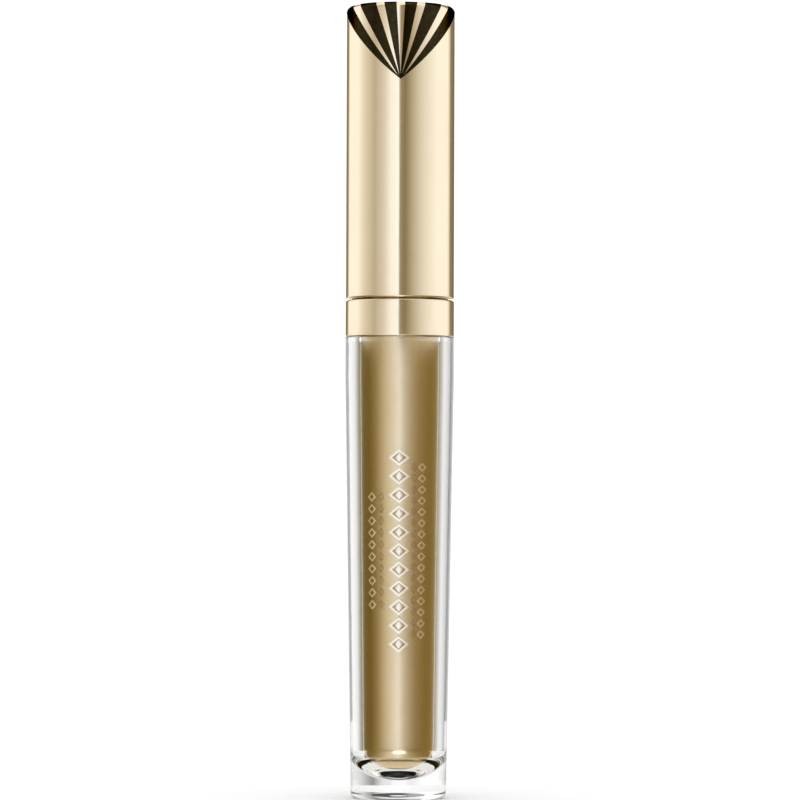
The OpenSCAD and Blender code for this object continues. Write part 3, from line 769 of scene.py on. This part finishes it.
def wiper_rubber():
    """Milky elastomer, stained with mascara where the lip wipes."""
    m, tree, shader = material("wiper_rubber")
    patches = effect(tree, SMUDGES, Size=900, Coverage=0.7)
    lip = effect(tree, BAND, Height=WIPER_BOTTOM, Reach=7 * MM)
    stain = spread(tree, maths(tree, "ADD", lip, maths(tree, "MULTIPLY", patches, 0.5)), 0.55, 0.8)
    tint(tree, shader, stain, (0.78, 0.77, 0.74), (0.02, 0.017, 0.016), 0.95)
    tree.links.new(spread(tree, stain, 0, 1, 0.42, 0.2), shader.inputs["Roughness"])
    relief(tree, shader, patches, 0.02 * MM)
    return m


def wet_mascara():
    """Black paste with a wet skin over its curds."""
    m, tree, shader = material("wet_mascara", Coat_Weight=0.5, Coat_Roughness=0.08)
    curds = effect(tree, GRAIN, Fineness=1600, Contrast=1)
    tint(tree, shader, curds, (0.006, 0.005, 0.005), (0.02, 0.017, 0.016), 1.0)
    tree.links.new(spread(tree, curds, 0, 1, 0.16, 0.38), shader.inputs["Roughness"])
    relief(tree, shader, curds, 0.12 * MM)
    return m


def loaded_brush():
    """Dark elastomer with mascara caught between the spikes: wet in the clots, dull elsewhere."""
    m, tree, shader = material("loaded_brush")
    clots = effect(tree, GRAIN, Fineness=2200, Contrast=2)
    tint(tree, shader, clots, (0.024, 0.021, 0.02), (0.006, 0.005, 0.005), 1.0)
    tree.links.new(spread(tree, clots, 0, 1, 0.5, 0.18), shader.inputs["Roughness"])
    relief(tree, shader, clots, 0.05 * MM)
    return m


def dress(piece, finish, body, slot, *nodes):
    """Gives a piece its one material and the body it rides on, and hides the nodes it stands for; slot is not used.
    """
    piece.data.materials.clear()
    piece.data.materials.append(finish)
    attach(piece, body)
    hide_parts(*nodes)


PLATED = plated_gold()
jacket = make_jacket()
dress(make_ornament(jacket), stamped_foil(), "tube", "stamping_foil", "front_ornament")
dress(jacket, clear_plastic(), "tube", "clear_plastic", "clear_jacket")
dress(make_vial(), pearl_gold(), "tube", "vial_gold", "vial")
dress(make_mascara(), wet_mascara(), "tube", "mascara", "mascara_fill")
dress(make_collar(), PLATED, "tube", "cap_gold", "collar")
dress(make_wiper(), wiper_rubber(), "tube", "wiper_elastomer", "wiper")
dress(make_stem(), moulded("stem_plastic", (0.014, 0.013, 0.013), (0.03, 0.029, 0.028), 0.22, 0.34, 3000,
                           0.002 * MM), "stem", "black_plastic", "stem")
dress(make_inner_cap(), moulded("insert_plastic", (0.8, 0.79, 0.76), (0.72, 0.7, 0.66), 0.34, 0.48, 2500,
                                0.004 * MM), "cap", "inner_plastic", "inner_cap")
dress(make_overcap(), PLATED, "cap", "cap_gold", "overcap")
dress(make_fan(), black_enamel(), "cap", "black_enamel", "fan_enamel")
dress(make_brush_core(), moulded("brush_plastic", (0.012, 0.011, 0.011), (0.026, 0.024, 0.023), 0.3, 0.42, 3000,
                                 0.003 * MM), "cap", "brush_plastic", "brush_core")
dress(make_bristles(), loaded_brush(), "cap", "brush_elastomer", "brush_bristles")


# ---------------------------------------------------------------- stage
def light_tier(name, profile, rows):
    """Softboxes and flags side by side, as one sheet round the tube whose profile is given as (radius, height).
    Each row is an azimuth in degrees, 0 at the camera's side and 90 at the right, with the strength and warmth
    of the light there. Neither the camera nor the floor sees the sheet, only reflections and clear plastic."""
    deselect()
    stations = []
    for (a0, s0, w0), (a1, s1, w1) in zip(rows, rows[1:]):
        parts = max(1, math.ceil((a1 - a0) / 4))
        for i in range(parts):
            t = i / parts
            stations.append((a0 + (a1 - a0) * t, s0 + (s1 - s0) * t, w0 + (w1 - w0) * t))
    stations.append(rows[-1])
    bpy.ops.mesh.primitive_grid_add(x_subdivisions=len(stations) - 1, y_subdivisions=len(profile) - 1, size=1)
    sheet = bpy.context.object
    sheet.name = name
    glow = sheet.data.attributes.new("glow", "FLOAT_COLOR", "POINT")
    for v in sheet.data.vertices:
        azimuth, strength, warmth = stations[round((v.co.x + 0.5) * (len(stations) - 1))]
        radius, height = profile[round((v.co.y + 0.5) * (len(profile) - 1))]
        a = math.radians(azimuth)
        v.co = (radius * math.sin(a), -radius * math.cos(a), height)
        glow.data[v.index].color = (strength, strength * (1 - 0.2 * warmth), strength * (1 - 0.65 * warmth), 1)
    m = bpy.data.materials.new(name)
    m.use_nodes = True
    tree = m.node_tree
    tree.nodes.clear()
    out = tree.nodes.new("ShaderNodeOutputMaterial")
    light = tree.nodes.new("ShaderNodeEmission")
    colour = tree.nodes.new("ShaderNodeAttribute")
    colour.attribute_name = "glow"
    tree.links.new(colour.outputs["Color"], light.inputs["Color"])
    tree.links.new(light.outputs[0], out.inputs[0])
    sheet.data.materials.append(m)
    sheet.visible_camera = sheet.visible_diffuse = sheet.visible_shadow = False


def matt(name, shade, roughness):
    """An even grey without gloss, for the stage."""
    m, _, shader = material(name, Roughness=roughness, Specular_IOR_Level=0.0)
    shader.inputs["Base Color"].default_value = (shade, shade, shade, 1)
    return m


def make_stage():
    """A pale floor, a black disc on it under the hollow of the base as painted shadow, and a white sky."""
    deselect()
    bpy.ops.mesh.primitive_plane_add(size=6, location=(0, 0, 0))
    floor = bpy.context.object
    # painted shadow: a black disc lying on the floor under the base's hollow, seen through the clear base
    bpy.ops.mesh.primitive_circle_add(vertices=64, radius=PAD_R, fill_type="NGON", location=(0, 0, ON_FLOOR))
    pad = bpy.context.object
    for ground, name, finish in ((floor, "floor", matt("pale_floor", 0.93, 0.6)),
                                 (pad, "painted_shadow_pad", matt("painted_shadow_black", 0.01, 0.8))):
        ground.name = name
        ground.data.materials.append(finish)
    world = bpy.data.worlds.new("studio")
    world.use_nodes = True
    bpy.context.scene.world = world
    sky = world.node_tree.nodes["Background"]
    sky.inputs["Color"].default_value = (1, 1, 1, 1)
    sky.inputs["Strength"].default_value = 1.15


# radius of the painted-shadow disc under the base's hollow, and the height of it and of the foot light over the
# floor
PAD_R, ON_FLOOR = PUNT_R - 1.1 * MM, 0.02 * MM
# radius of the sheets round the tube; heights where they start, where they part, and where they end
SHEET_R, SHEET_LOW, FOOT_TOP, CARD_TOP = 0.03, 0.5 * MM, 3.8 * MM, 10 * MM
SPLIT_Z, RIM_TOP, GLINT_Z = BODY_TOP + 0.1 * MM, BODY_TOP + 1.0 * MM, 0.8 * MM
# Rows of azimuth, strength, warmth. The upper sheet lights the collar and the cap, the lower one the jacket and the
# vial; the front of the foot is dimmer, the bowl lies flat on the floor, the rim lies behind the jacket's top edge,
# and the flag and the card stand behind the tube.
UPPER_LIGHT = [(-165, 0.3, 0.8), (-146, 0.25, 0.8), (-136, 1.1, -0.3), (-100, 1.1, -0.35), (-80, 0.8, -0.1),
               (-55, 0.55, 0.2), (-33, 0.77, -0.2), (-20, 1.03, -0.5), (-3, 1.12, -0.7), (-1, 0.37, 0.5),
               (10, 0.25, 0.5), (27, 0.54, 0.2), (45, 0.78, -0.2), (64, 0.95, -0.3), (85, 1.1, -0.35),
               (118, 1.1, -0.3), (127, 0.8, 0), (132, 0.3, 0.5), (165, 0.14, 0.5)]
LOWER_LIGHT = [(-165, 1.1, 0), (-150, 1.15, 0), (-139, 1.0, 0), (-130, 0.85, 0), (-121, 0.55, 0.3),
               (-110, 0.26, 0.7), (-100, 0.18, 1.1), (-78, 0.18, 1.3), (-59, 0.33, 1.0), (-36, 0.68, 0.2),
               (-18, 0.88, -0.2), (0, 1.05, -0.7), (6, 0.87, -0.5), (15, 0.67, 0), (31, 0.47, 0.4),
               (47, 0.34, 0.9), (78, 0.24, 1.2), (100, 0.27, 1.0), (110, 0.38, 0.5), (121, 0.64, 0.1),
               (130, 0.95, 0), (142, 0.9, 0), (152, 0.75, 0), (165, 0.3, 0)]
FOOT_FRONT = [(a, s * (0.3 if abs(a) < 50 else 1), w) for a, s, w in LOWER_LIGHT]
BOWL_LIGHT = [row for row in LOWER_LIGHT if -105 < row[0] < 105]
BACK_FLAG = [(165, 0.05, 0), (182, 0.05, 0), (186, 0.38, 0), (195, 0.45, 0)]
RIM_LIGHT = ([row for row in LOWER_LIGHT if row[0] > 105] + BACK_FLAG[1:3]
             + [(a + 360, s, w) for a, s, w in LOWER_LIGHT if a < -105])
BACK_CARD = [(165, 0.3, 0), (172, 0.8, 0), (188, 0.9, 0), (195, 1.1, 0)]
FOOT_LIGHT = [(-180, 0.85, 0.1), (180, 0.85, 0.1)]
GLINT = [(-17, 0.8, 0.2), (-9, 4, 0), (13, 4, 0), (21, 0.8, 0.2)]
make_stage()
light_tier("upper_lights", [(0.0305, BODY_TOP + 0.3 * MM), (0.3, 0.0785), (0.3, 0.6)], UPPER_LIGHT)
light_tier("lower_lights", [(SHEET_R, FOOT_TOP), (SHEET_R, SPLIT_Z)], LOWER_LIGHT)
light_tier("foot_front", [(SHEET_R, SHEET_LOW), (SHEET_R, FOOT_TOP)], FOOT_FRONT)
light_tier("rim_lights", [(SHEET_R, SPLIT_Z), (SHEET_R, RIM_TOP)], RIM_LIGHT)
light_tier("bowl_lights", [(0.0095, SHEET_LOW), (0.0299, SHEET_LOW)], BOWL_LIGHT)
light_tier("floor_glint", [(0.0175, GLINT_Z), (0.0295, GLINT_Z)], GLINT)
light_tier("back_flag", [(SHEET_R, CARD_TOP), (SHEET_R, SPLIT_Z)], BACK_FLAG)
light_tier("back_card", [(SHEET_R, SHEET_LOW), (SHEET_R, CARD_TOP)], BACK_CARD)
light_tier("foot_light", [(0.0043, ON_FLOOR), (0.0125, ON_FLOOR)], FOOT_LIGHT)

# ---------------------------------------------------------------- camera
camera_data = bpy.data.cameras.new("camera")
camera_data.lens = 189.8
camera_data.sensor_width = 36
camera = bpy.data.objects.new("camera", camera_data)
camera.location = (0.00012, -0.620, 0.0451)
camera.rotation_euler = (math.radians(90 + 1.2275), math.radians(-0.2), 0)
bpy.context.scene.collection.objects.link(camera)
bpy.context.scene.camera = camera
bpy.context.scene.view_settings.view_transform = "Standard"
